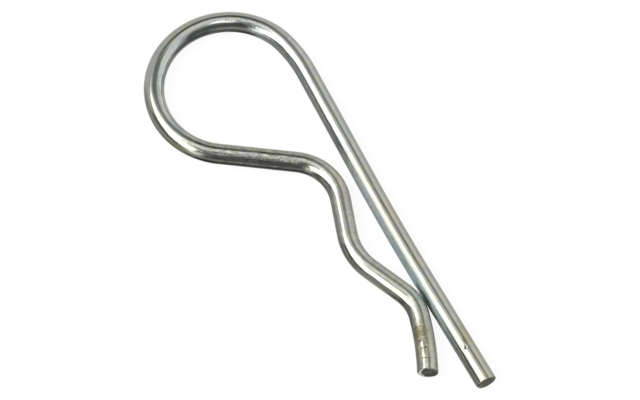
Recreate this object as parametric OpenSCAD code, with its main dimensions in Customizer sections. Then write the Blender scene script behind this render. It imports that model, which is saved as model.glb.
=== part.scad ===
// Hitch R clip pin: one length of round spring wire, bent flat.
// The straight leg goes through the cross hole of a pin, and the wavy leg
// snaps round the outside of it. The origin is on the axis of that pin, at
// the level of the surface that the clip lies on. +X runs along the straight
// leg from its tip to the loop, and +Y points to the wavy leg.

/* [Wire] */
// Diameter of the wire
wire_d = 4; // [3.2:0.1:5]
// How much thicker the wire is in a bend than in a straight stretch
bend_swell = 0.02; // [0.02:0.01:0.1]
// Rounding left on the rims of the cut ends
rim_round = 0.2; // [0.05:0.05:0.5]

/* [Pin that it holds] */
// Diameter of the cross-drilled pin
pin_d = 12.7; // [10.5:0.1:15.9]
// Slack between that pin and the seat in the wavy leg
seat_clear = 0.4; // [0:0.1:1]

/* [Straight leg] */
// From the tip to the axis of the pin
tip_run = 35.1; // [28:0.1:50]
// Slight bend that the leg keeps where the pin sits, in degrees
leg_set = 2.4; // [0.5:0.1:4]
// Inside radius of that slight bend
set_r = 540; // [200:5:600]

/* [Loop] */
// Inside radius of the loop
loop_r = 12.5; // [9:0.1:18]
// Inside radius of the shoulder that leads from the straight leg into the loop
shoulder_r = 25.5; // [18:0.5:40]
// Turn of the shoulder, in degrees
shoulder_turn = 12.4; // [5:0.1:25]
// Straight neck between the loop and the pinch
neck_run = 15; // [8:0.1:25]

/* [Wavy leg] */
// Gap between the legs at the pinch
pinch_gap = 1.8; // [0.5:0.1:2.5]
// Inside radius of the bend at the pinch
pinch_r = 7.7; // [4:0.1:10]
// Slope of the run from the pinch up to the seat, in degrees
open_slope = 18.7; // [14:0.1:26]
// Inside radius of the seat
seat_r = 9.6; // [6:0.1:12]
// Slope of the run from the seat down to the toe, in degrees
close_slope = 22.9; // [15:0.1:28]
// Inside radius of the toe, where the legs meet
toe_r = 6.4; // [4:0.1:12]
// Gap between the legs at the toe, which in use is a light touch
close_gap = 0.05; // [0.05:0.05:1]
// Angle at which the tail lifts away from the straight leg, in degrees
tail_lift = 16.8; // [8:0.1:25]
// Inside radius of the slightly curved tail
tail_r = 53; // [30:1:120]
// Length of the tail
tail_run = 11.5; // [5:0.1:16]

/* [Hidden] */
$fn = 96;

wire_r = wire_d / 2;
wire_grey = [0.74, 0.75, 0.73];

// Short straight stretch between two bends of the same hand
ease_run = 1;

// How far a straight stretch reaches into the bend at either end of it, so
// that the two are one solid
bury = 0.1;

// Radii of the middle of the wire, a half wire outside each tool radius
loop_bend = loop_r + wire_r;
shoulder_bend = shoulder_r + wire_r;
pinch_bend = pinch_r + wire_r;
seat_bend = seat_r + wire_r;
toe_bend = toe_r + wire_r;

// Heights of the middle of the wavy leg above the middle of the straight leg
seat_height = pin_d / 2 + seat_clear + wire_r;
toe_height = wire_d + close_gap;
pinch_height = wire_d + pinch_gap;

// The slight bend has its corner on the axis of the pin. The back run of the
// straight leg leaves that corner leg_set degrees below the X axis, so a
// point has its own distance along the back run and height above it.
set_half = (set_r + wire_r) * tan(leg_set / 2);
function back_along(p) = p.x * cos(leg_set) - p.y * sin(leg_set);
function back_height(p) = p.x * sin(leg_set) + p.y * cos(leg_set);
function from_back(along, height) = [
    along * cos(leg_set) + height * sin(leg_set),
    height * cos(leg_set) - along * sin(leg_set)
];

// Seat: its crest stands over the axis of the pin
seat_centre = [0, seat_height - seat_bend];

// Run from the seat down to the toe, tangent to both
close_drop = seat_height - toe_height - (seat_bend + toe_bend) * (1 - cos(close_slope));
close_run = close_drop / sin(close_slope);

// Run from the pinch up to the seat, tangent to both, which sets the pinch
above_seat = seat_centre + (seat_bend + pinch_bend) * [sin(open_slope), cos(open_slope)];
open_rise = back_height(above_seat) - pinch_height - pinch_bend;
open_run = open_rise / sin(open_slope - leg_set);
pinch_centre = above_seat + open_run * [cos(open_slope), -sin(open_slope)];

// Loop: the shoulder sets its height over the back run, and the neck its
// distance from the pinch
loop_height = shoulder_bend * (1 - cos(shoulder_turn)) + ease_run * sin(shoulder_turn)
    + loop_bend * cos(shoulder_turn);
loop_reach = norm([neck_run, loop_bend + pinch_bend]);
loop_climb = loop_height - back_height(pinch_centre);
loop_along = back_along(pinch_centre) + sqrt(loop_reach ^ 2 - loop_climb ^ 2);
loop_centre = from_back(loop_along, loop_height);

// Runs of the straight leg before and after its slight bend
front_run = tip_run - rim_round - bury - set_half;
shoulder_along = (shoulder_bend - loop_bend) * sin(shoulder_turn) + ease_run * cos(shoulder_turn);
back_run = loop_along - shoulder_along - set_half;

// Direction of the neck, tangent to the loop on one side and to the pinch on
// the other, and the turns that follow from it
neck_line = loop_centre - pinch_centre;
neck_tilt = asin((loop_bend + pinch_bend) / loop_reach);
neck_heading = 180 + atan2(neck_line.y, neck_line.x) + neck_tilt;
loop_turn = neck_heading + leg_set - shoulder_turn;
pinch_turn = neck_heading + open_slope - 180;
seat_turn = open_slope + close_slope;
toe_turn = close_slope + tail_lift;
tail_turn = (tail_run - ease_run - rim_round) / (tail_r + wire_r) * 180 / PI;

// Straight wire along +X, with what follows at its far end
module feed(run) {
    translate([-bury, 0, 0]) rotate([0, 90, 0]) cylinder(h = run + 2 * bury, r = wire_r);
    translate([run, 0, 0]) children();
}

// Wire bent round a tool, with what follows at its far end: a positive turn
// is to the left, a negative one to the right
module bend(tool_r, turn) {
    side = sign(turn);
    middle_r = tool_r + wire_r;
    translate([0, side * middle_r, 0]) {
        rotate(turn > 0 ? -90 : 90 + turn) rotate_extrude(angle = abs(turn))
            translate([middle_r, 0]) circle(d = wire_d + bend_swell);
        rotate(turn) translate([0, -side * middle_r, 0]) children();
    }
}

// Cut end facing +X, a straight stub of the wire with a rounded rim
module cut_end() {
    stub = rim_round + bury;
    translate([-bury, 0, 0]) rotate([0, 90, 0]) rotate_extrude() {
        square([wire_r, bury]);
        square([wire_r - rim_round, stub]);
        intersection() {
            translate([wire_r - rim_round, bury]) circle(r = rim_round);
            translate([0, bury]) square([wire_r, rim_round]);
        }
    }
}

// The whole clip, in the order in which the wire is bent
module clip() {
    color(wire_grey) translate([rim_round + bury - tip_run, 0, wire_r + bend_swell / 2]) {
        translate([-bury, 0, 0]) rotate(180) cut_end();
        feed(front_run)
        bend(set_r, -leg_set)
        feed(back_run)
        bend(shoulder_r, shoulder_turn)
        feed(ease_run)
        bend(loop_r, loop_turn)
        feed(neck_run)
        bend(pinch_r, -pinch_turn)
        feed(open_run)
        bend(seat_r, seat_turn)
        feed(close_run)
        bend(toe_r, -toe_turn)
        feed(ease_run)
        bend(tail_r, -tail_turn)
        cut_end();
    }
}

clip();
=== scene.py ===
import math

import bpy
import numpy as np
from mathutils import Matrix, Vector, noise


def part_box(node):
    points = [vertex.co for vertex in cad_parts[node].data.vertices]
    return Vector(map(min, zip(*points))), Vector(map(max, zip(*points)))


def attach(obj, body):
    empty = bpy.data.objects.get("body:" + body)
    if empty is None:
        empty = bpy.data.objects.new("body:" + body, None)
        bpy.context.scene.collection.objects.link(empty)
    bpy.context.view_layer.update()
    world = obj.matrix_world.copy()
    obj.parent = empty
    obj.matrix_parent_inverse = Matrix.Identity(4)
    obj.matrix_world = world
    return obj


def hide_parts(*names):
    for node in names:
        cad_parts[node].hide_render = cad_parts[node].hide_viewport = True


# The clip on its sheet: one bent and zinc-plated wire, the studio round it,
# the lamp and the camera. All sizes are in metres and angles in degrees.
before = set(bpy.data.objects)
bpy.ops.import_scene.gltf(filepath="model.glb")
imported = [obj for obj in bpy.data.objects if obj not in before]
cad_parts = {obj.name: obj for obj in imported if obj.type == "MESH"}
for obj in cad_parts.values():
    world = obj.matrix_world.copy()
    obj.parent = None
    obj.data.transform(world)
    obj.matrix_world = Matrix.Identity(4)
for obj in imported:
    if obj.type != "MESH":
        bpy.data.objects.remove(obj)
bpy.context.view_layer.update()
clip_low, clip_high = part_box("clip")


# The wire's middle line. Round spring wire, cropped to length and bent cold
# round tools: a straight leg, a shoulder, the loop, a neck, and then the
# pinch, seat and toe of the wavy leg, and its tail. The sizes are those that
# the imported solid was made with.
wire_r = 0.0020
rim = 0.0002
pin_r = 0.00635
seat_clear = 0.0004
tip_run = 0.0351
leg_set = 2.4
set_bend = 0.540 + wire_r
loop_bend = 0.0125 + wire_r
shoulder_bend = 0.0255 + wire_r
shoulder_turn = 12.4
neck_run = 0.0150
pinch_gap = 0.0018
pinch_bend = 0.0077 + wire_r
open_slope = 18.7
seat_bend = 0.0096 + wire_r
close_slope = 22.9
toe_bend = 0.0064 + wire_r
close_gap = 0.00005
tail_lift = 16.8
tail_bend = 0.053 + wire_r
tail_run = 0.0115
ease_run = 0.001


def cos(angle):
    """Cosine of an angle in degrees."""
    return math.cos(math.radians(angle))


def sin(angle):
    """Sine of an angle in degrees."""
    return math.sin(math.radians(angle))


def clip_line():
    """Runs of the wire from the tip to the tail: length, and turn in degrees."""
    seat_height = pin_r + seat_clear + wire_r
    toe_height = 2 * wire_r + close_gap
    pinch_height = 2 * wire_r + pinch_gap
    set_half = set_bend * math.tan(math.radians(leg_set / 2))

    close_drop = seat_height - toe_height - (seat_bend + toe_bend) * (1 - cos(close_slope))
    close_run = close_drop / sin(close_slope)

    above_seat = Vector((sin(open_slope), cos(open_slope))) * (seat_bend + pinch_bend)
    above_seat.y += seat_height - seat_bend
    open_rise = above_seat.x * sin(leg_set) + above_seat.y * cos(leg_set) - pinch_height - pinch_bend
    open_run = open_rise / sin(open_slope - leg_set)
    pinch = above_seat + open_run * Vector((cos(open_slope), -sin(open_slope)))
    pinch_along = pinch.x * cos(leg_set) - pinch.y * sin(leg_set)
    pinch_up = pinch.x * sin(leg_set) + pinch.y * cos(leg_set)

    loop_up = shoulder_bend * (1 - cos(shoulder_turn)) + ease_run * sin(shoulder_turn)
    loop_up += loop_bend * cos(shoulder_turn)
    loop_reach = math.hypot(neck_run, loop_bend + pinch_bend)
    loop_along = pinch_along + math.sqrt(loop_reach ** 2 - (loop_up - pinch_up) ** 2)
    shoulder_along = (shoulder_bend - loop_bend) * sin(shoulder_turn) + ease_run * cos(shoulder_turn)
    rise = math.degrees(math.atan2(loop_up - pinch_up, loop_along - pinch_along))
    tilt = math.degrees(math.asin((loop_bend + pinch_bend) / loop_reach))
    neck_heading = 180 + rise - leg_set + tilt

    def bend(radius, turn):
        return radius * math.radians(abs(turn)), turn

    tail_turn = math.degrees((tail_run - ease_run - rim) / tail_bend)
    return [
        (tip_run - set_half, 0),
        bend(set_bend, -leg_set),
        (loop_along - shoulder_along - set_half, 0),
        bend(shoulder_bend, shoulder_turn),
        (ease_run, 0),
        bend(loop_bend, neck_heading + leg_set - shoulder_turn),
        (neck_run, 0),
        bend(pinch_bend, 180 - open_slope - neck_heading),
        (open_run, 0),
        bend(seat_bend, open_slope + close_slope),
        (close_run, 0),
        bend(toe_bend, -close_slope - tail_lift),
        (ease_run, 0),
        bend(tail_bend, -tail_turn),
        (rim, 0),
    ]


wire_runs = clip_line()
wire_length = sum(length for length, turn in wire_runs)


def along_clip(distances):
    """Places and headings of the middle line at these distances from the tip."""
    places = np.zeros((len(distances), 2))
    headings = np.zeros(len(distances))
    x, y, heading, start = -tip_run, 0.0, 0.0, 0.0
    for length, turn in wire_runs:
        turn = math.radians(turn)
        here = distances >= start
        part = distances[here] - start
        if turn:
            radius = length / turn
            turned = part / radius
            ahead, aside = radius * np.sin(turned), radius * (1 - np.cos(turned))
        else:
            turned, ahead, aside = 0 * part, part, 0 * part
        places[here, 0] = x + ahead * math.cos(heading) - aside * math.sin(heading)
        places[here, 1] = y + ahead * math.sin(heading) + aside * math.cos(heading)
        headings[here] = heading + turned
        if turn:
            ahead, aside = radius * math.sin(turn), radius * (1 - math.cos(turn))
        else:
            ahead, aside = length, 0.0
        x, y = (
            x + ahead * math.cos(heading) - aside * math.sin(heading),
            y + ahead * math.sin(heading) + aside * math.cos(heading),
        )
        heading += turn
        start += length
    return places, headings


# The wire's skin. Drawing leaves it very nearly round, and a few thousandths
# of a millimetre oval or three-sided by turns. Handling has left a nick near
# the tip and a flat on the toe, and tool marks and a rough band on the tail.
waver = 0.000004
skin_r = wire_r + waver
sides = 80
plain_step = 0.00035

# Where the mesh is finer: from, to, and the step between its rings there.
fine_stretches = (
    (0.0, 0.0006, 0.00005),
    (0.0006, 0.0016, 0.00010),
    (0.0064, 0.0084, 0.00008),
    (0.1940, wire_length - 0.0007, 0.00010),
    (wire_length - 0.0007, wire_length, 0.00005),
)


def ring_distances():
    """Distances of the mesh's rings from the tip, close together where the wire is marked."""
    distances = [0.0]
    while distances[-1] < wire_length:
        here = distances[-1]
        steps = [step for low, high, step in fine_stretches if low <= here < high]
        distances.append(here + (steps[0] if steps else plain_step))
    return np.array(distances[:-2] + [wire_length])


distances = ring_distances()
around = np.radians(np.arange(sides) * 360 / sides)
along_grid, around_grid = np.meshgrid(distances, around, indexing="ij")


def hollow(along, turn, half_length, half_width, depth):
    """A smooth hollow of that depth, with its middle at that distance and angle."""
    across = (np.degrees(around_grid) - turn + 180) % 360 - 180
    spread = ((along_grid - along) / half_length) ** 2 + (across / half_width) ** 2
    return depth * np.exp(-spread)


def bumps(size, seed):
    """Soft random bumps about that size, between -1 and 1, over the wire's skin."""
    heights = np.zeros(along_grid.shape)
    for i in range(heights.shape[0]):
        for j in range(heights.shape[1]):
            place = Vector((
                wire_r * math.cos(around[j]), wire_r * math.sin(around[j]), distances[i],
            ))
            heights[i, j] = noise.noise(place / size + Vector((seed, seed, seed)))
    return heights


radii = np.full(along_grid.shape, skin_r)
for lobes, wind in ((2, 0.011), (3, -0.0065)):
    radii -= waver * (1 + np.sin(lobes * around_grid + along_grid / wind))
for along, turn, half_length, half_width, depth in (
    # The nick, its second lip and the scrape that leads into it
    (0.0073, 77, 0.00017, 5, 0.00012),
    (0.0076, 81, 0.00016, 4, 0.00006),
    (0.0072, 62, 0.00009, 12, 0.00002),
    # Tool marks across the tail, and the pit beside them
    (0.2010, 118, 0.00018, 30, 0.00002),
    (0.2030, 120, 0.00014, 30, 0.000025),
    (0.2008, 92, 0.00020, 6, 0.00003),
    # The flat on the outside of the toe
    (0.1907, 116, 0.0017, 24, 0.00006),
):
    radii -= hollow(along, turn, half_length, half_width, depth)

# The rough band
band = hollow(0.1984, 128, 0.0016, 48, 0.00005)
radii -= band * (1 + bumps(0.0005, 4.0) + 0.7 * bumps(0.00025, 9.0))


# The cut ends. Each is cropped by one blow of a blade, which rolls the rim
# over, most on one side, and tears the face. The tail was cropped a little
# out of square, so that its upper edge is short.
rolled_in = 0.7
tail_short = 0.00028
tail_short_side = 120
tail_short_run = 0.0015


def towards(side, angles):
    """How far angles round the wire face that side: 1 on it, 0 on the side opposite."""
    return 0.5 + 0.5 * np.cos(angles - math.radians(side))


def rolled_rim(from_end, roll):
    """How far the skin draws in near a cut rim that is rolled over by that much."""
    short = np.clip(1 - from_end / roll, 0, 1)
    return roll * (1 - np.sqrt(1 - short ** 2)) * rolled_in


# How far each rim is rolled over: all round, and on top of that on one side.
tip_roll = 0.00012 + 0.00055 * towards(-5, around) ** 3
tail_roll = 0.00013 + 0.00017 * towards(185, around) ** 3
radii -= rolled_rim(along_grid, tip_roll[None, :])
radii -= rolled_rim(wire_length - along_grid, tail_roll[None, :])
tail_slant = tail_short * towards(tail_short_side, around_grid)
tail_slant *= np.clip(1 - (wire_length - along_grid) / tail_short_run, 0, 1)

# Its mesh: a ring of points at each distance, then each cut face as smaller
# rings that run in to the middle. The left side of the wire is at angle 0 and
# its top at 90, as seen along the wire from the tip. Each point also keeps its
# place on the wire as it was before bending, for the plating.
places, headings = along_clip(distances)
left = np.stack([-np.sin(headings), np.cos(headings), 0 * headings], axis=1)
ahead = np.stack([np.cos(headings), np.sin(headings), 0 * headings], axis=1)
middle = np.column_stack([places, np.full(len(places), (clip_low.z + clip_high.z) / 2)])
upward = np.array([0.0, 0.0, 1.0])

points = []
drawn = []
cut = []
for i in range(len(distances)):
    for j in range(sides):
        out = left[i] * math.cos(around[j]) + upward * math.sin(around[j])
        points.append(middle[i] + radii[i, j] * out - tail_slant[i, j] * ahead[i])
        drawn.append((wire_r * math.cos(around[j]), wire_r * math.sin(around[j]), distances[i]))
        cut.append(0.0)
faces = []
for i in range(len(distances) - 1):
    for j in range(sides):
        a, b = i * sides + j, i * sides + (j + 1) % sides
        faces.append((a, b, b + sides, a + sides))

face_rings = (0.985, 0.95, 0.90, 0.83, 0.75, 0.66, 0.56, 0.45, 0.34, 0.23, 0.12)
sunk_middle = 0.00005
torn_depth = 0.00012
tear_size = 0.0011
shred_size = 0.0004
shred_share = 0.4
lip_slope = 5
tail_dished = 0.00014


def cut_face(ring, outward, seed, dished):
    """Adds a torn cut face inside the ring of points at this end, dished by that much."""
    at_tip = ring == 0
    previous = [ring * sides + j for j in range(sides)]
    for share in face_rings:
        current = []
        for j in range(sides):
            out = left[ring] * math.cos(around[j]) + upward * math.sin(around[j])
            flat = out * radii[ring, j] * share
            rough = noise.noise(Vector(flat) / tear_size + Vector((seed, 0, 0)))
            rough += shred_share * noise.noise(Vector(flat) / shred_size + Vector((seed, 7, 0)))
            sunk = max(0.0, sunk_middle + torn_depth * rough) * min(1, lip_slope * (1 - share))
            sunk += dished * (1 + share * math.cos(around[j] - math.radians(tail_short_side)))
            current.append(len(points))
            points.append(middle[ring] + flat - outward * sunk)
            drawn.append((
                wire_r * share * math.cos(around[j]),
                wire_r * share * math.sin(around[j]),
                distances[ring],
            ))
            cut.append(1.0)
        for j in range(sides):
            quad = (previous[j], previous[(j + 1) % sides], current[(j + 1) % sides], current[j])
            faces.append(quad[::-1] if at_tip else quad)
        previous = current
    centre = len(points)
    points.append(middle[ring] - outward * (sunk_middle + dished))
    drawn.append((0.0, 0.0, distances[ring]))
    cut.append(1.0)
    for j in range(sides):
        fan = (previous[j], previous[(j + 1) % sides], centre)
        faces.append(fan[::-1] if at_tip else fan)


cut_face(0, -ahead[0], seed=0, dished=0.0)
cut_face(len(distances) - 1, ahead[-1], seed=3, dished=tail_dished)

mesh = bpy.data.meshes.new("plated_wire")
mesh.from_pydata([tuple(p) for p in points], [], faces)
mesh.update()
mesh.shade_smooth()
drawn_field = mesh.attributes.new("drawn", "FLOAT_VECTOR", "POINT")
drawn_field.data.foreach_set("vector", np.array(drawn, np.float32).ravel())
cut_field = mesh.attributes.new("cut", "FLOAT", "POINT")
cut_field.data.foreach_set("value", np.array(cut, np.float32))
clip = bpy.data.objects.new("plated_clip", mesh)
bpy.context.scene.collection.objects.link(clip)
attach(clip, "root")
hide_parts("clip")

# The plating. Bright zinc over drawn steel, passivated in a clear bath that
# leaves faint blue, straw and rose clouds. The fine lines along the wire come
# from the drawing die and show through the zinc.
zinc = bpy.data.materials.new("bright_zinc")
zinc.use_nodes = True
tree = zinc.node_tree
surface = tree.nodes["Principled BSDF"]


def add(tree, kind, inputs=None, **settings):
    """Adds a shader node. Its inputs are given as values or as sockets to link."""
    made = tree.nodes.new("ShaderNode" + kind)
    for name, value in settings.items():
        setattr(made, name, value)
    for name, value in (inputs or {}).items():
        if isinstance(value, bpy.types.NodeSocket):
            tree.links.new(value, made.inputs[name])
        else:
            made.inputs[name].default_value = value
    return made


def shader_group(name, inputs, outputs):
    """An empty node group with these sockets, and its own input and output nodes."""
    group = bpy.data.node_groups.new(name, "ShaderNodeTree")
    for socket, kind in inputs:
        group.interface.new_socket(socket, in_out="INPUT", socket_type="NodeSocket" + kind)
    for socket, kind in outputs:
        group.interface.new_socket(socket, in_out="OUTPUT", socket_type="NodeSocket" + kind)
    return group, group.nodes.new("NodeGroupInput"), group.nodes.new("NodeGroupOutput")


# Lines from the die: bumps drawn far out along the wire, which wind slowly
# round it. Across and Along are how many there are to a metre each way.
radians_per_metre = 30
lines, given, result = shader_group(
    "drawn_lines",
    [("Place", "Vector"), ("Across", "Float"), ("Along", "Float")],
    [("Height", "Float")],
)
winding = add(lines, "VectorMath", {
    0: given.outputs["Place"], 1: (0, 0, radians_per_metre),
}, operation="DOT_PRODUCT")
wound = add(
    lines, "VectorRotate",
    {"Vector": given.outputs["Place"], "Angle": winding.outputs["Value"]}, rotation_type="Z_AXIS",
)
per_metre = add(lines, "CombineXYZ", {
    "X": given.outputs["Across"], "Y": given.outputs["Across"], "Z": given.outputs["Along"],
})
stretched = add(
    lines, "VectorMath", {0: wound.outputs["Vector"], 1: per_metre.outputs["Vector"]}, operation="MULTIPLY"
)
bumpy = add(lines, "TexNoise", {
    "Vector": stretched.outputs["Vector"], "Scale": 1.0, "Detail": 2.0, "Roughness": 0.6,
})
lines.links.new(bumpy.outputs["Fac"], result.inputs["Height"])

# A cloud: a patch on the wire with an edge that drifts in and out. The drift
# comes first, so that the renderer works out one cloud at a time; all of them
# at once would take more room than it has.
cloud, given, result = shader_group(
    "cloud",
    [("Place", "Vector"), ("Drift", "Vector"), ("Middle", "Vector"), ("Half Size", "Vector")],
    [("Mask", "Float")],
)
away = add(cloud, "VectorMath", {
    0: given.outputs["Drift"], 1: given.outputs["Half Size"], 2: given.outputs["Place"],
}, operation="MULTIPLY_ADD")
away = add(cloud, "VectorMath", {
    0: away.outputs["Vector"], 1: given.outputs["Middle"],
}, operation="SUBTRACT")
away = add(cloud, "VectorMath", {
    0: away.outputs["Vector"], 1: given.outputs["Half Size"],
}, operation="DIVIDE")
away = add(cloud, "VectorMath", {0: away.outputs["Vector"]}, operation="LENGTH")
edge = add(cloud, "MapRange", {
    "Value": away.outputs["Value"], "From Min": 0.3, "From Max": 1.3, "To Min": 1.0, "To Max": 0.0,
}, interpolation_type="SMOOTHSTEP")
cloud.links.new(edge.outputs["Result"], result.inputs["Mask"])

place = add(tree, "Attribute", attribute_name="drawn").outputs["Vector"]
cut_mask = add(tree, "Attribute", attribute_name="cut").outputs["Fac"]
noise_middle = (0.5, 0.5, 0.5)
drift_reach = (1.3, 1.3, 1.3)
drift = add(tree, "TexNoise", {"Vector": place, "Scale": 700.0, "Detail": 3.0})
drift = add(tree, "VectorMath", {0: drift.outputs["Color"], 1: noise_middle}, operation="SUBTRACT")
drift = add(tree, "VectorMath", {0: drift.outputs["Vector"], 1: drift_reach}, operation="MULTIPLY")


def cloud_at(along, turn, half_length, half_width):
    """Mask of a cloud: millimetres from the tip, degrees round the wire, half sizes in both."""
    wide = wire_r * math.radians(half_width)
    made = add(tree, "Group", node_tree=cloud)
    tree.links.new(place, made.inputs["Place"])
    tree.links.new(drift.outputs["Vector"], made.inputs["Drift"])
    made.inputs["Middle"].default_value = (wire_r * cos(turn), wire_r * sin(turn), along / 1000)
    made.inputs["Half Size"].default_value = (wide, wide, half_length / 1000)
    return made.outputs["Mask"]


def laid_over(under, colour, mask, strength=1.0):
    """The colour under it, with this colour laid over it through the mask."""
    if strength != 1.0:
        mask = add(tree, "Math", {0: mask, 1: strength}, operation="MULTIPLY").outputs[0]
    mixed = add(tree, "Mix", {"Factor": mask, "A": under, "B": (*colour, 1)}, data_type="RGBA")
    return mixed.outputs["Result"]


# Its colour, which changes slowly along the wire: straw towards the cut ends
# and on the wavy leg, clear on the loop. The side of the straight leg that
# faces the wavy leg is bluer.
share_along = add(tree, "SeparateXYZ", {"Vector": place}).outputs["Z"]
share_along = add(tree, "Math", {0: share_along, 1: wire_length}, operation="DIVIDE").outputs[0]


def tint_along(stops):
    """A colour that changes along the wire: millimetres from the tip, and the colour there."""
    ramp = add(tree, "ValToRGB", {"Fac": share_along})
    for count, (along, colour) in enumerate(stops):
        if count < 2:
            stop = ramp.color_ramp.elements[count]
            stop.position = along / 1000 / wire_length
        else:
            stop = ramp.color_ramp.elements.new(along / 1000 / wire_length)
        stop.color = (*colour, 1)
    return ramp.outputs["Color"]


upper_tint = tint_along((
    (0, (0.675, 0.67, 0.555)), (22, (0.650, 0.67, 0.600)), (36, (0.685, 0.67, 0.560)),
    (56, (0.650, 0.67, 0.615)), (84, (0.655, 0.67, 0.632)), (104, (0.665, 0.67, 0.605)),
    (118, (0.655, 0.67, 0.620)), (144, (0.655, 0.67, 0.585)), (176, (0.660, 0.67, 0.610)),
    (197, (0.675, 0.67, 0.550)),
))
inner_tint = tint_along((
    (3, (0.620, 0.62, 0.555)), (14, (0.450, 0.52, 0.510)), (25, (0.330, 0.400, 0.410)),
    (45, (0.370, 0.395, 0.420)), (52, (0.380, 0.400, 0.400)), (62, (0.640, 0.66, 0.640)),
    (98, (0.635, 0.67, 0.645)), (124, (0.700, 0.72, 0.685)), (148, (0.610, 0.62, 0.530)),
    (160, (0.530, 0.53, 0.470)), (200, (0.510, 0.51, 0.445)),
))
inner_side = add(tree, "SeparateXYZ", {"Vector": place}).outputs["X"]
inner_side = add(tree, "MapRange", {
    "Value": inner_side, "From Min": 0.0002, "From Max": 0.0016,
}, interpolation_type="SMOOTHSTEP").outputs["Result"]
colour = add(tree, "Mix", {"Factor": inner_side, "A": upper_tint, "B": inner_tint}, data_type="RGBA")
colour = colour.outputs["Result"]

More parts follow.
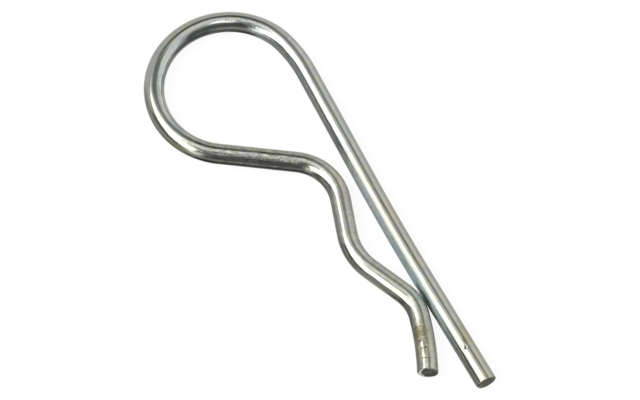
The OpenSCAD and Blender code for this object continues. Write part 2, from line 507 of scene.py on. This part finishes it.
# The clouds: the plating's own straw, rose, lilac and blue, and the olive stains
# near the ends; and darker and lighter patches of painted light: painted shade
# where the legs touch and along the dark edges, and painted highlights and
# painted reflections that move the edges of the bright bands and dark lines. Each
# is as cloud_at takes it, then its colour and how strongly it is laid on.
for along, turn, half_length, half_width, tint_and_painted_light, strength in (
    # Painted shade at the tip: its left side darker, and two painted dark lines under the highlight.
    (3.9, 26, 8.0, 24, (0.46, 0.46, 0.42), 0.8),
    (5.4, 45, 8.0, 5, (0.20, 0.20, 0.17), 0.9),
    (5.4, 29, 7.0, 3, (0.34, 0.34, 0.30), 0.7),
    # The plating's own clouds and stains: straw, rose, lilac, blue and olive.
    (9.9, 122, 3.0, 34, (0.60, 0.58, 0.40), 0.8),
    (8.7, 92, 0.8, 7, (0.32, 0.30, 0.13), 0.9),
    (24.6, 22, 2.2, 30, (0.34, 0.46, 0.52), 0.8),
    (27.4, 97, 2.2, 9, (0.68, 0.66, 0.42), 0.8),
    (35.4, 88, 1.2, 16, (0.72, 0.62, 0.60), 0.7),
    (38.4, 115, 2.6, 16, (0.76, 0.66, 0.55), 0.8),
    (43.9, 66, 1.3, 7, (0.66, 0.62, 0.70), 0.6),
    (50.4, 20, 2.2, 20, (0.44, 0.52, 0.57), 0.6),
    (55.4, 28, 1.2, 20, (0.36, 0.46, 0.40), 0.8),
    (105.0, 113, 1.2, 8, (0.70, 0.68, 0.46), 0.8),
    (112.4, 121, 1.1, 9, (0.72, 0.63, 0.58), 0.7),
    (107.9, 60, 5.0, 26, (0.62, 0.69, 0.69), 0.6),
    (128.4, 162, 3.2, 17, (0.62, 0.60, 0.33), 0.9),
    (147.4, 60, 3.5, 18, (0.66, 0.66, 0.50), 0.8),
    (160.4, 66, 1.4, 15, (0.56, 0.54, 0.33), 0.8),
    (164.2, 66, 1.6, 11, (0.66, 0.55, 0.42), 0.8),
    (163.0, 36, 1.4, 12, (0.66, 0.62, 0.72), 0.8),
    (191.2, 56, 2.0, 17, (0.38, 0.48, 0.48), 0.8),
    (195.8, 52, 1.3, 18, (0.44, 0.47, 0.53), 0.7),
    (195.2, 70, 1.0, 7, (0.72, 0.66, 0.46), 0.7),
    # Painted shade on the straight leg where the toe touches it.
    (13.0, 6, 6.0, 12, (0.34, 0.36, 0.34), 0.6),
    (16.0, 16, 3.0, 11, (0.15, 0.17, 0.16), 0.8),
    (17.6, 2, 2.2, 18, (0.02, 0.03, 0.025), 1.0),
    (20.0, 27, 3.4, 15, (0.07, 0.10, 0.088), 1.0),
    (21.4, 31, 2.4, 11, (0.05, 0.08, 0.07), 0.8),
    # Painted shade near the tip and past the contact: the left side darker, and the lower edge of the
    # highlight held in.
    (2.4, 22, 2.8, 10, (0.30, 0.30, 0.26), 0.7),
    (10.8, 42, 2.5, 6, (0.30, 0.31, 0.28), 0.6),
    (6.0, 53, 9.0, 4, (0.40, 0.40, 0.36), 0.8),
    (27.4, 38, 7.0, 12, (0.25, 0.30, 0.31), 0.7),
    # Painted reflection: darker dashes on the dark line along the top of the straight leg.
    (31.6, 96, 2.0, 3.0, (0.36, 0.35, 0.28), 0.8),
    (27.4, 95, 0.9, 3.0, (0.36, 0.34, 0.22), 0.8),
    (19.0, 96, 5.0, 2.0, (0.42, 0.42, 0.38), 0.7),
    (40.6, 96, 1.6, 3.0, (0.42, 0.41, 0.34), 0.8),
    (53.0, 97, 3.0, 2.5, (0.42, 0.42, 0.38), 0.8),
    # Painted shade on the toe where it touches the straight leg, a painted dark line beside the toe's
    # highlight, and painted shade on the dark edges of the toe and the loop.
    (192.3, 24, 1.2, 20, (0.26, 0.31, 0.29), 0.8),
    (185.0, 107, 2.6, 2.5, (0.36, 0.36, 0.33), 0.8),
    (192.4, 178, 5.5, 24, (0.08, 0.08, 0.07), 1.0),
    (187.4, 180, 12.0, 12, (0.36, 0.36, 0.32), 0.6),
    (132.4, 184, 13.0, 18, (0.24, 0.24, 0.21), 0.9),
    # Painted shade and painted highlights along the wire: darker and lighter patches that move the edges
    # of the highlights and dark lines, and painted shade on the grazing edges.
    (114.4, 84, 9.0, 8, (0.34, 0.37, 0.35), 0.8),
    (116.6, 112, 1.6, 6, (0.38, 0.39, 0.36), 0.8),
    (120.4, 120, 2.2, 6, (0.38, 0.39, 0.36), 0.8),
    (123.6, 128, 2.4, 6, (0.36, 0.37, 0.34), 0.8),
    (122.0, 124, 1.5, 5, (0.26, 0.27, 0.25), 0.8),
    (118.2, 113, 1.6, 5, (0.42, 0.43, 0.40), 0.7),
    (124.4, 152, 6.0, 7, (0.80, 0.80, 0.74), 0.6),
    (124.0, 137, 4.0, 9, (0.42, 0.43, 0.39), 0.6),
    (116.4, 24, 4.0, 14, (0.50, 0.53, 0.51), 0.6),
    (118.4, 71, 5.0, 8, (0.48, 0.50, 0.47), 0.7),
    (120.4, 50, 6.0, 8, (0.92, 0.93, 0.89), 0.7),
    (111.4, 41, 5.0, 8, (0.92, 0.93, 0.89), 0.7),
    (112.4, 4, 6.0, 10, (0.46, 0.48, 0.46), 0.6),
    (84.4, 116, 7.0, 12, (0.80, 0.81, 0.77), 0.6),
    (84.4, 42, 5.0, 9, (0.95, 0.96, 0.94), 0.8),
    (55.4, 91, 12.0, 5, (0.80, 0.82, 0.75), 0.7),
    (143.4, 93, 15.0, 6, (0.96, 0.96, 0.87), 0.8),
    (146.4, 116, 8.0, 8, (0.40, 0.40, 0.37), 0.85),
    (144.9, 137, 8.0, 8, (0.88, 0.88, 0.82), 0.7),
    (91.0, -17, 11.0, 15, (0.10, 0.11, 0.10), 1.0),
    (85.4, 103, 6.0, 10, (0.84, 0.86, 0.82), 0.6),
    (68.4, 49, 11.0, 7, (1.00, 1.00, 0.98), 0.9),
    (53.4, 51, 7.0, 6, (0.66, 0.67, 0.65), 0.8),
    (72.4, 3, 9.0, 12, (0.40, 0.41, 0.39), 0.7),
    (147.0, 177, 9.0, 16, (0.40, 0.40, 0.36), 0.8),
    (152.4, 158, 4.0, 9, (0.42, 0.42, 0.38), 0.8),
    (152.4, 132, 1.6, 9, (1.00, 1.00, 0.95), 0.8),
    (141.8, 101, 4.5, 5, (0.98, 0.98, 0.92), 0.7),
    (187.8, 160, 3.5, 11, (0.88, 0.87, 0.78), 0.7),
    (171.8, 38, 5.0, 15, (0.66, 0.65, 0.55), 0.8),
    (190.6, 107, 2.4, 8, (0.38, 0.38, 0.34), 0.8),
    (190.8, 136, 2.2, 11, (1.00, 1.00, 0.96), 1.0),
    (82.9, 39, 2.4, 9, (1.00, 1.00, 1.00), 0.9),
    (58.9, 51, 3.5, 8, (1.00, 1.00, 0.98), 0.8),
    (76.0, 47, 5.0, 6, (1.00, 1.00, 0.98), 0.8),
    (135.6, 128, 3.8, 11, (1.00, 1.00, 0.94), 1.0),
    (122.4, 121, 2.0, 5, (0.36, 0.37, 0.34), 0.7),
    (124.9, 128, 1.7, 6, (0.30, 0.31, 0.28), 0.8),
    (157.9, 146, 2.0, 10, (0.98, 0.98, 0.92), 0.9),
    (136.9, 111, 1.6, 6, (0.36, 0.37, 0.34), 0.8),
    (86.2, 31, 2.6, 8, (1.00, 1.00, 0.98), 0.8),
    (89.2, 80, 2.6, 6, (0.94, 0.96, 0.92), 0.7),
    (92.0, 72, 2.4, 6, (0.88, 0.90, 0.86), 0.7),
    (86.0, 64, 2.4, 6, (0.50, 0.52, 0.50), 0.6),
    (118.9, 48, 3.0, 7, (1.00, 1.00, 0.96), 0.8),
    (130.9, 112, 2.0, 6, (0.96, 0.96, 0.88), 0.7),
    (143.0, 120, 3.0, 6, (0.38, 0.38, 0.35), 0.7),
    (158.0, 88, 2.4, 6, (0.92, 0.92, 0.85), 0.7),
    (160.9, 104, 2.4, 6, (0.46, 0.46, 0.42), 0.7),
    (163.9, 120, 2.2, 6, (0.98, 0.98, 0.92), 0.8),
    (193.6, 128, 1.6, 6, (0.95, 0.94, 0.88), 0.7),
    (57.2, 89, 4.4, 5, (0.95, 0.97, 0.90), 0.8),
    (24.0, 153, 30.0, 9, (0.54, 0.53, 0.46), 0.8),
    (131.0, 60, 5.0, 7, (0.92, 0.92, 0.85), 0.6),
    (101.4, 89, 6.0, 6, (0.34, 0.36, 0.33), 0.8),
    (170.4, 18, 6.0, 12, (0.92, 0.91, 0.80), 0.6),
    (190.4, 34, 2.5, 12, (0.72, 0.74, 0.68), 0.6),
    (181.6, 168, 3.5, 10, (0.86, 0.85, 0.74), 0.5),
    (162.0, 177, 12.0, 20, (0.28, 0.28, 0.25), 0.8),
    (191.9, 160, 4.5, 26, (0.40, 0.40, 0.36), 0.8),
    (202.4, 167, 4.0, 18, (0.38, 0.38, 0.33), 0.7),
    (22.0, 46, 5.0, 7, (0.36, 0.40, 0.39), 0.9),
    (20.4, 79, 25.0, 4, (0.46, 0.45, 0.39), 0.6),
    (178.0, 82, 2.0, 2.5, (0.42, 0.42, 0.38), 0.7),
    (191.0, 86, 5.0, 2.5, (0.42, 0.42, 0.38), 0.7),
    (188.0, 104, 9.0, 6, (0.46, 0.46, 0.41), 0.6),
    # Painted shade that dims and breaks the tail's highlight, and a painted highlight at its very end.
    (200.6, 100, 1.2, 8, (0.26, 0.25, 0.19), 0.8),
    (202.0, 100, 1.0, 7, (0.30, 0.29, 0.23), 0.7),
    (201.1, 113, 0.5, 10, (0.34, 0.33, 0.27), 0.9),
    (201.5, 112, 0.7, 8, (0.38, 0.37, 0.31), 0.7),
    (203.0, 113, 0.14, 12, (0.40, 0.39, 0.33), 0.9),
    (204.9, 100, 0.9, 10, (1.00, 1.00, 0.95), 0.9),
    (204.9, 125, 0.8, 9, (0.40, 0.40, 0.35), 0.6),
    # Olive at the near edge of the rough band.
    (196.5, 103, 0.6, 9, (0.30, 0.28, 0.18), 0.7),
    # Painted highlight and painted shade on the sides of the tail.
    (201.6, 81, 2.6, 5, (0.95, 0.94, 0.84), 0.8),
    (203.4, 146, 3.4, 14, (0.44, 0.43, 0.36), 0.5),
    # A faint warm patch on the inner side of the wavy leg.
    (176.0, 48, 16.0, 12, (0.50, 0.47, 0.43), 0.4),
    # The rough band on the tail: olive, with dark lines across it at both edges.
    (198.1, 122, 1.8, 56, (0.38, 0.36, 0.22), 1.0),
    (196.7, 120, 0.3, 48, (0.20, 0.19, 0.13), 0.7),
    (199.5, 112, 0.3, 44, (0.20, 0.19, 0.13), 0.7),
):
    colour = laid_over(colour, tint_and_painted_light, cloud_at(along, turn, half_length, half_width), strength)

# The dark spots, where bare steel shows: the nick, laid on twice, its lip and
# its scrape, and the pits on the tail.
pit_brown = (0.09, 0.08, 0.06)
for along, turn, half_length, half_width, strength in (
    (7.35, 77, 0.24, 5.5, 1.0),
    (7.35, 77, 0.24, 5.5, 1.0),
    (7.62, 81, 0.22, 4.5, 1.0),
    (7.25, 64, 0.10, 9.0, 0.5),
    (200.85, 91, 0.22, 3.5, 0.6),
    (200.45, 95, 0.20, 3.0, 0.4),
    (203.50, 81, 0.60, 3.5, 0.5),
):
    mask = cloud_at(along, turn, half_length, half_width)
    colour = laid_over(colour, pit_brown, mask, strength)

# All over, the zinc is a little warmer and cooler by turns, and it is finely
# mottled. Past the middle of the loop it is also streaked in short lengths.
warmth = add(tree, "TexNoise", {"Vector": place, "Scale": 420.0, "Detail": 3.0})
warmth = add(tree, "ValToRGB", {"Fac": warmth.outputs["Fac"]})
warmth.color_ramp.elements[0].position = 0.35
warmth.color_ramp.elements[0].color = (0.93, 0.96, 1.02, 1)
warmth.color_ramp.elements[1].position = 0.65
warmth.color_ramp.elements[1].color = (1.05, 1.03, 0.94, 1)
colour = add(tree, "VectorMath", {0: colour, 1: warmth.outputs["Color"]}, operation="MULTIPLY")
colour = colour.outputs["Vector"]
chatter = add(tree, "Group", {"Place": place, "Across": 350.0, "Along": 1500.0}, node_tree=lines)
chatter = add(tree, "MapRange", {
    "Value": chatter.outputs[0], "From Min": 0.35, "From Max": 0.65, "To Min": -0.09, "To Max": 0.07,
})
waved = tint_along(((112, (0.0, 0.0, 0.0)), (135, (1.0, 1.0, 1.0))))
chatter = add(tree, "Math", {
    0: chatter.outputs["Result"], 1: waved, 2: 1.0,
}, operation="MULTIPLY_ADD")
colour = add(tree, "VectorMath", {0: colour, 1: chatter.outputs[0]}, operation="MULTIPLY")
colour = colour.outputs["Vector"]
mottle = add(tree, "TexNoise", {"Vector": place, "Scale": 1100.0, "Detail": 3.0})
mottle = add(tree, "MapRange", {
    "Value": mottle.outputs["Fac"], "From Min": 0.3, "From Max": 0.7, "To Min": 0.92, "To Max": 1.06,
})
colour = add(tree, "VectorMath", {0: colour, 1: mottle.outputs["Result"]}, operation="MULTIPLY")
colour = colour.outputs["Vector"]

# Its feel: fine drawn lines all over, and stronger and more broken ones where
# the wire was gripped, at the start of the loop and on the neck. It is scuffed
# at the band on the tail and on the cut faces, and rubbed near the tip.
dulled_share = 0.45
gripped = add(tree, "Math", {
    0: cloud_at(143.9, 110, 13, 95), 1: cloud_at(89.9, 62, 4, 26),
}, operation="MAXIMUM").outputs[0]
scuffed = add(tree, "Math", {
    0: cloud_at(198.1, 122, 1.8, 54), 1: cut_mask,
}, operation="MAXIMUM").outputs[0]
dulled = add(tree, "Math", {
    0: cloud_at(196.1, 118, 0.9, 30), 1: dulled_share,
}, operation="MULTIPLY").outputs[0]
scuffed = add(tree, "Math", {0: scuffed, 1: dulled}, operation="MAXIMUM").outputs[0]
rubbed = cloud_at(17.8, 4, 1.8, 22)


def raised(height, depth, normal=None):
    """The surface raised by this height times depth, in metres, over the normal under it."""
    made = add(tree, "Bump", {"Height": height, "Strength": 1.0, "Distance": depth})
    if normal:
        tree.links.new(normal, made.inputs["Normal"])
    return made.outputs["Normal"]


# The lines, and the dark grime that has settled in them where the wire was gripped. Along the wavy leg,
# dark streaks are laid on as painted shade.
painted_shade_streak_grey = (0.12, 0.12, 0.10)
grime_grey = (0.30, 0.30, 0.27)
fine = add(tree, "Group", {"Place": place, "Across": 9000.0, "Along": 120.0}, node_tree=lines)
wide = add(tree, "Group", {"Place": place, "Across": 2600.0, "Along": 70.0}, node_tree=lines)
broken = add(tree, "Group", {"Place": place, "Across": 3200.0, "Along": 700.0}, node_tree=lines)
grime = add(tree, "MapRange", {
    "Value": broken.outputs[0], "From Min": 0.45, "From Max": 0.62,
}, interpolation_type="SMOOTHSTEP")
# Where the wavy leg is darkened in streaks, as painted shade.
shade_streak_zone = add(tree, "Math", {
    0: cloud_at(190.5, 161, 6, 16), 1: cloud_at(159.5, 154, 4, 20),
}, operation="MAXIMUM").outputs[0]
shade_streak_zone = add(tree, "Math", {
    0: shade_streak_zone, 1: cloud_at(176.0, 154, 4, 20),
}, operation="MAXIMUM").outputs[0]
shade_streaks = add(tree, "Group", {"Place": place, "Across": 2600.0, "Along": 220.0}, node_tree=lines)
shade_streaks = add(tree, "MapRange", {
    "Value": shade_streaks.outputs[0], "From Min": 0.43, "From Max": 0.54,
}, interpolation_type="SMOOTHSTEP")
shade_streaks = add(tree, "Math", {0: shade_streaks.outputs["Result"], 1: shade_streak_zone}, operation="MULTIPLY")
colour = laid_over(colour, painted_shade_streak_grey, shade_streaks.outputs[0], 0.8)
grime = add(tree, "Math", {0: grime.outputs["Result"], 1: gripped}, operation="MULTIPLY")
colour = laid_over(colour, grime_grey, grime.outputs[0], 0.7)
broken = add(tree, "Math", {0: broken.outputs[0], 1: gripped}, operation="MULTIPLY")

# The scuffed places are specked, and the torn steel of the cut faces is olive
# and dark by turns, with one worn edge on the tail.
worn_straw = (0.76, 0.75, 0.62)
speck_brown = (0.10, 0.09, 0.06)
grain = add(tree, "TexNoise", {"Vector": place, "Scale": 3800.0, "Detail": 3.0})
specks = add(tree, "MapRange", {
    "Value": grain.outputs["Fac"], "From Min": 0.48, "From Max": 0.62,
}, interpolation_type="SMOOTHSTEP")
specks = add(tree, "Math", {0: specks.outputs["Result"], 1: scuffed}, operation="MULTIPLY")
torn = add(tree, "TexNoise", {"Vector": place, "Scale": 1300.0, "Detail": 4.0})
torn = add(tree, "ValToRGB", {"Fac": torn.outputs["Fac"]})
torn.color_ramp.elements[0].position = 0.38
torn.color_ramp.elements[0].color = (0.25, 0.24, 0.19, 1)
torn.color_ramp.elements[1].position = 0.60
torn.color_ramp.elements[1].color = (0.62, 0.62, 0.50, 1)
colour = add(tree, "Mix", {
    "Factor": cut_mask, "A": colour, "B": torn.outputs["Color"],
}, data_type="RGBA").outputs["Result"]
worn = add(tree, "Math", {
    0: cloud_at(205.8, 20, 0.4, 75), 1: cut_mask,
}, operation="MULTIPLY").outputs[0]
colour = laid_over(colour, worn_straw, worn, 0.7)
colour = laid_over(colour, speck_brown, specks.outputs[0], 0.5)

# The blade's side of each cut face is smooth: a crescent on the tail, where it
# also left a burr, and two on the tip. The light colour of the tail's crescent and
# burr is partly painted reflection of the pale ground below them, and the dark
# mark on the skin beside the burr is painted shade under it.
ragged_by = 0.0006
near_end = 0.3
burr_and_painted_reflection = (0.88, 0.88, 0.86)
blade_grey = (0.66, 0.66, 0.58)
blade_bright = (0.85, 0.84, 0.78)
painted_shade_under_burr = (0.16, 0.15, 0.12)


def blade_side(along, centre_x, centre_y, radius):
    """Mask of the smooth crescent that the blade leaves on the cut face there.

    It lies outside a ragged circle, given by its centre and radius in metres.
    """
    ragged = add(tree, "TexNoise", {"Vector": place, "Scale": 1500.0, "Detail": 3.0})
    flat = add(tree, "VectorMath", {0: place, 1: (1, 1, 0)}, operation="MULTIPLY")
    flat = add(tree, "VectorMath", {
        0: flat.outputs["Vector"], 1: (centre_x, centre_y, 0),
    }, operation="DISTANCE")
    reach = add(tree, "Math", {
        0: ragged.outputs["Fac"], 1: ragged_by, 2: flat.outputs["Value"],
    }, operation="MULTIPLY_ADD")
    reach = add(tree, "MapRange", {
        "Value": reach.outputs[0],
        "From Min": radius + 0.4 * ragged_by, "From Max": radius + 0.6 * ragged_by,
    }, interpolation_type="SMOOTHSTEP")
    here = add(tree, "Math", {
        0: share_along, 1: along / wire_length, 2: near_end,
    }, operation="COMPARE")
    here = add(tree, "Math", {0: here.outputs[0], 1: reach.outputs["Result"]}, operation="MULTIPLY")
    return add(tree, "Math", {0: here.outputs[0], 1: cut_mask}, operation="MULTIPLY").outputs[0]


burr = add(tree, "Math", {
    0: blade_side(wire_length, 0.00036, 0.00003, 0.00176), 1: cloud_at(205.9, 190, 0.28, 24),
}, operation="MAXIMUM").outputs[0]
# The light burr and crescent on the tail, partly painted reflection.
colour = laid_over(colour, burr_and_painted_reflection, burr, 0.9)
colour = laid_over(colour, blade_grey, blade_side(0.0, -0.00036, 0.00036, 0.00165), 0.8)
colour = laid_over(colour, blade_bright, blade_side(0.0, 0.00050, -0.00045, 0.00230), 0.8)
# Painted shade under the burr.
colour = laid_over(colour, painted_shade_under_burr, cloud_at(205.45, 172, 0.22, 7), 0.8)
tree.links.new(colour, surface.inputs["Base Color"])

# The inner side of the legs is hazy, and less like metal for it, and so is the
# burr at the tail.
hazy = tint_along((
    (8, (0.1, 0.1, 0.1)), (22, (1.0, 1.0, 1.0)), (46, (1.0, 1.0, 1.0)), (56, (0.0, 0.0, 0.0)),
    (148, (0.0, 0.0, 0.0)), (158, (0.7, 0.7, 0.7)),
))
hazy = add(tree, "Math", {0: hazy, 1: inner_side}, operation="MULTIPLY").outputs[0]
hazy = add(tree, "Math", {0: hazy, 1: cut_mask}, operation="SUBTRACT", use_clamp=True).outputs[0]
dull = add(tree, "Math", {0: hazy, 1: burr}, operation="MAXIMUM")
metal = add(tree, "MapRange", {"Value": dull.outputs[0], "To Min": 1.0, "To Max": 0.45})
tree.links.new(metal.outputs["Result"], surface.inputs["Metallic"])

# The lines and the grain stand out from the surface, and the roughness follows
# the wide lines, with more where the zinc is hazy, scuffed, gripped or rubbed.
fine_depth = 0.0000035
wide_depth = 0.000012
broken_depth = 0.00004
grain_depth = 0.00006
grain = add(tree, "Math", {0: grain.outputs["Fac"], 1: scuffed}, operation="MULTIPLY")
feel = raised(fine.outputs[0], fine_depth)
feel = raised(wide.outputs[0], wide_depth, feel)
feel = raised(broken.outputs[0], broken_depth, feel)
feel = raised(grain.outputs[0], grain_depth, feel)
tree.links.new(feel, surface.inputs["Normal"])
shine = add(tree, "MapRange", {
    "Value": wide.outputs[0], "From Min": 0.3, "From Max": 0.7, "To Min": 0.06, "To Max": 0.11,
})
shine = shine.outputs["Result"]
for mask, rougher in ((hazy, 0.20), (scuffed, 0.36), (gripped, 0.05), (rubbed, 0.35)):
    shine = add(tree, "Math", {0: mask, 1: rougher, 2: shine}, operation="MULTIPLY_ADD").outputs[0]
tree.links.new(shine, surface.inputs["Roughness"])
mesh.materials.append(zinc)

# The studio. Soft boxes and dark flags round the clip, as seen in the plating.
# Each card is placed by its bearing, where 0 is straight beyond the clip and
# 90 to the right, and by its height above the horizon.
view_bearing = 151.51
studio = bpy.data.worlds.new("studio")
studio.use_nodes = True
bpy.context.scene.world = studio
studio.cycles.sampling_method = "NONE"
room = studio.node_tree
room.nodes.clear()


def maths(tree, operation, *terms):
    """The result of this operation on the terms, which are numbers or sockets."""
    return add(tree, "Math", dict(enumerate(terms)), operation=operation).outputs[0]


ray = add(room, "TexCoord").outputs["Generated"]
turned = add(room, "VectorRotate", {
    "Angle": math.radians(270 - view_bearing), "Vector": ray,
}, rotation_type="Z_AXIS")
split = add(room, "SeparateXYZ", {"Vector": turned.outputs["Vector"]})
in_degrees = 180 / math.pi
bearing = maths(room, "ARCTAN2", split.outputs["X"], split.outputs["Y"])
bearing = maths(room, "MULTIPLY", bearing, in_degrees)
height = maths(room, "ARCSINE", split.outputs["Z"])
height = maths(room, "MULTIPLY", height, in_degrees)


def soft_edge(distance, half, soft):
    """Mask of a card: 1 on it and 0 off it, with an edge that is soft by this much either way."""
    return add(room, "MapRange", {
        "Value": distance, "From Min": half - soft, "From Max": half + soft, "To Min": 1, "To Max": 0,
    }, interpolation_type="SMOOTHSTEP").outputs["Result"]


# The room itself is an even grey, and the cards stand in front of it, each in
# front of those above it here. Their sizes and soft edges are in degrees, and
# a card that leans rises by that much for each degree to the right.
room_grey = 0.51
base = add(room, "RGB")
base.outputs[0].default_value = (room_grey, room_grey, room_grey, 1)
shade = base.outputs[0]
for card, card_bearing, card_height, half_width, half_height, lean, soft_side, soft_top, level in (
    ("sheet_beyond", -3, -51, 13, 26, 0, 16, 16, 0.83),
    ("under", 0, -90, 180, 12, 0, 1, 10, 0.40),
    ("low_left", -100, -21, 39, 45, -0.8, 12, 13, 0.29),
    ("low_gap", -106, 15, 19, 11, 0.25, 3, 4, 0.13),
    ("low_front", -165, -49, 39, 24, -0.4, 10, 17, 0.05),
    ("low_right", 73, -35, 16, 17, 0, 7, 12, 0.28),
    ("front_flag", 165, 6, 44, 72, 0.2, 8, 34, 0.10),
    ("front_glow", 182, -19, 25, 9, 0, 7, 5, 0.30),
    ("front_left", -151, 56, 20, 21, -0.12, 5, 11, 0.04),
    ("right_card", 83, 24, 27, 36, -0.37, 2, 13, 0.78),
    ("right_low", 121, -31, 32, 28, 0, 16, 30, 0.09),
    ("ceiling", 0, 90, 180, 20, 0, 1, 40, 0.95),
    ("ceiling_front", -150, 69, 27, 12, -0.3, 8, 25, 0.21),
    ("key_fade", -54, 71, 26, 7, -0.1, 10, 5, 0.92),
    ("key_box", -96, 47, 45, 19, 0.28, 2, 4, 1.9),
    ("key_spill", -142, 12, 7, 9, 0, 5, 8, 1.1),
    ("small_box", 172, 68, 19, 9, 0, 10, 3, 2.0),
    ("gap", 12, 55, 45, 11, 0.08, 6, 2, 0.29),
    ("gap_drop", -1, 46, 15, 8, -0.5, 11, 11, 0.0),
    ("wall_right", 39, 27, 13, 18, 0.3, 3, 13, 0.71),
):
    aside = maths(room, "SUBTRACT", bearing, card_bearing)
    aside = maths(room, "WRAP", aside, 180, -180)
    above = maths(room, "SUBTRACT", height, card_height)
    above = maths(room, "SUBTRACT", above, maths(room, "MULTIPLY", aside, lean))
    mask = maths(
        room, "MULTIPLY",
        soft_edge(maths(room, "ABSOLUTE", aside), half_width, soft_side),
        soft_edge(maths(room, "ABSOLUTE", above), half_height, soft_top),
    )
    shade = add(room, "Mix", {
        "Factor": mask, "A": shade, "B": (level, level, level, 1),
    }, data_type="RGBA", label=card).outputs["Result"]


def seen_by_eye(tree, path, most):
    """This much for what is seen, straight or through gloss or glass, and 0 for what lights."""
    seen = maths(tree, "ADD", path.outputs["Is Camera Ray"], path.outputs["Is Glossy Ray"])
    seen = maths(tree, "ADD", seen, path.outputs["Is Transmission Ray"])
    return maths(tree, "MINIMUM", seen, most)


# The plating shows the cards. Behind the clip the room is plain white, and the
# soft light that it gives is that of a pale grey.
path = add(room, "LightPath")
backdrop = add(room, "Mix", {
    "Factor": path.outputs["Is Camera Ray"], "A": shade, "B": (1, 1, 1, 1),
}, data_type="RGBA")
seen = seen_by_eye(room, path, 1)
fill = add(room, "Background", {"Color": (0.8, 0.8, 0.8, 1)})
shown = add(room, "Background", {"Color": backdrop.outputs["Result"]})
choice = add(room, "MixShader", {"Fac": seen, 1: fill.outputs[0], 2: shown.outputs[0]})
add(room, "OutputWorld", {"Surface": choice.outputs[0]})

# The sheet that the clip lies on: smooth white paper, wide enough to reach
# past the edge of every view. The even share of its white is its own, and the
# rest comes from the light on it, so that it keeps the clip's soft shadow.
sheet_reach = 3.0
even_share = 0.92
paper = bpy.data.meshes.new("paper_sheet")
corners = [(-1, -1), (1, -1), (1, 1), (-1, 1)]
paper.from_pydata([(sheet_reach * x, sheet_reach * y, 0) for x, y in corners], [], [(0, 1, 2, 3)])
sheet = bpy.data.objects.new("paper_sheet", paper)
bpy.context.scene.collection.objects.link(sheet)
sheet.visible_glossy = False
white = bpy.data.materials.new("white_paper")
white.use_nodes = True
pulp = white.node_tree
pulp.nodes.clear()
seen = seen_by_eye(pulp, add(pulp, "LightPath"), even_share)
matt = add(pulp, "BsdfDiffuse", {"Color": (0.9, 0.9, 0.9, 1)})
even = add(pulp, "Emission", {"Color": (1, 1, 1, 1)})
choice = add(pulp, "MixShader", {"Fac": seen, 1: matt.outputs[0], 2: even.outputs[0]})
add(pulp, "OutputMaterial", {"Surface": choice.outputs[0]})
paper.materials.append(white)

# The key lamp: one large soft lamp high on the left, which gives the sheet
# its faint shadow. Its bearing is told as a card's is.
lamp_bearing = -100
lamp_reach = 0.48
lamp_height = 0.64
lamp = bpy.data.lights.new("key_lamp", "AREA")
lamp.shape = "RECTANGLE"
lamp.size = 0.6
lamp.size_y = 0.4
lamp.energy = 5
key = bpy.data.objects.new("key_lamp", lamp)
bpy.context.scene.collection.objects.link(key)
key.visible_camera = False
key.visible_glossy = False
to_lamp = view_bearing + 180 - lamp_bearing
key.location = (lamp_reach * cos(to_lamp), lamp_reach * sin(to_lamp), lamp_height)
key.rotation_mode = "QUATERNION"
key.rotation_quaternion = key.location.to_track_quat("Z", "Y")

# The camera: a long lens, high up beyond the tip and on the wavy leg's side,
# with no roll.
view_height = 64.53
view_reach = 0.5611
target = Vector((0.01257, 0.00924, 0.00205))
back = Vector((
    cos(view_height) * cos(view_bearing),
    cos(view_height) * sin(view_bearing),
    sin(view_height),
))
lens = bpy.data.cameras.new("long_lens")
lens.sensor_width = 36
lens.lens = 165.6
lens.clip_start = 0.05
lens.clip_end = 20
camera = bpy.data.objects.new("camera", lens)
bpy.context.scene.collection.objects.link(camera)
camera.location = target + back * view_reach
camera.rotation_mode = "QUATERNION"
camera.rotation_quaternion = back.to_track_quat("Z", "Y")
bpy.context.scene.camera = camera

bpy.context.scene.view_settings.view_transform = "Standard"
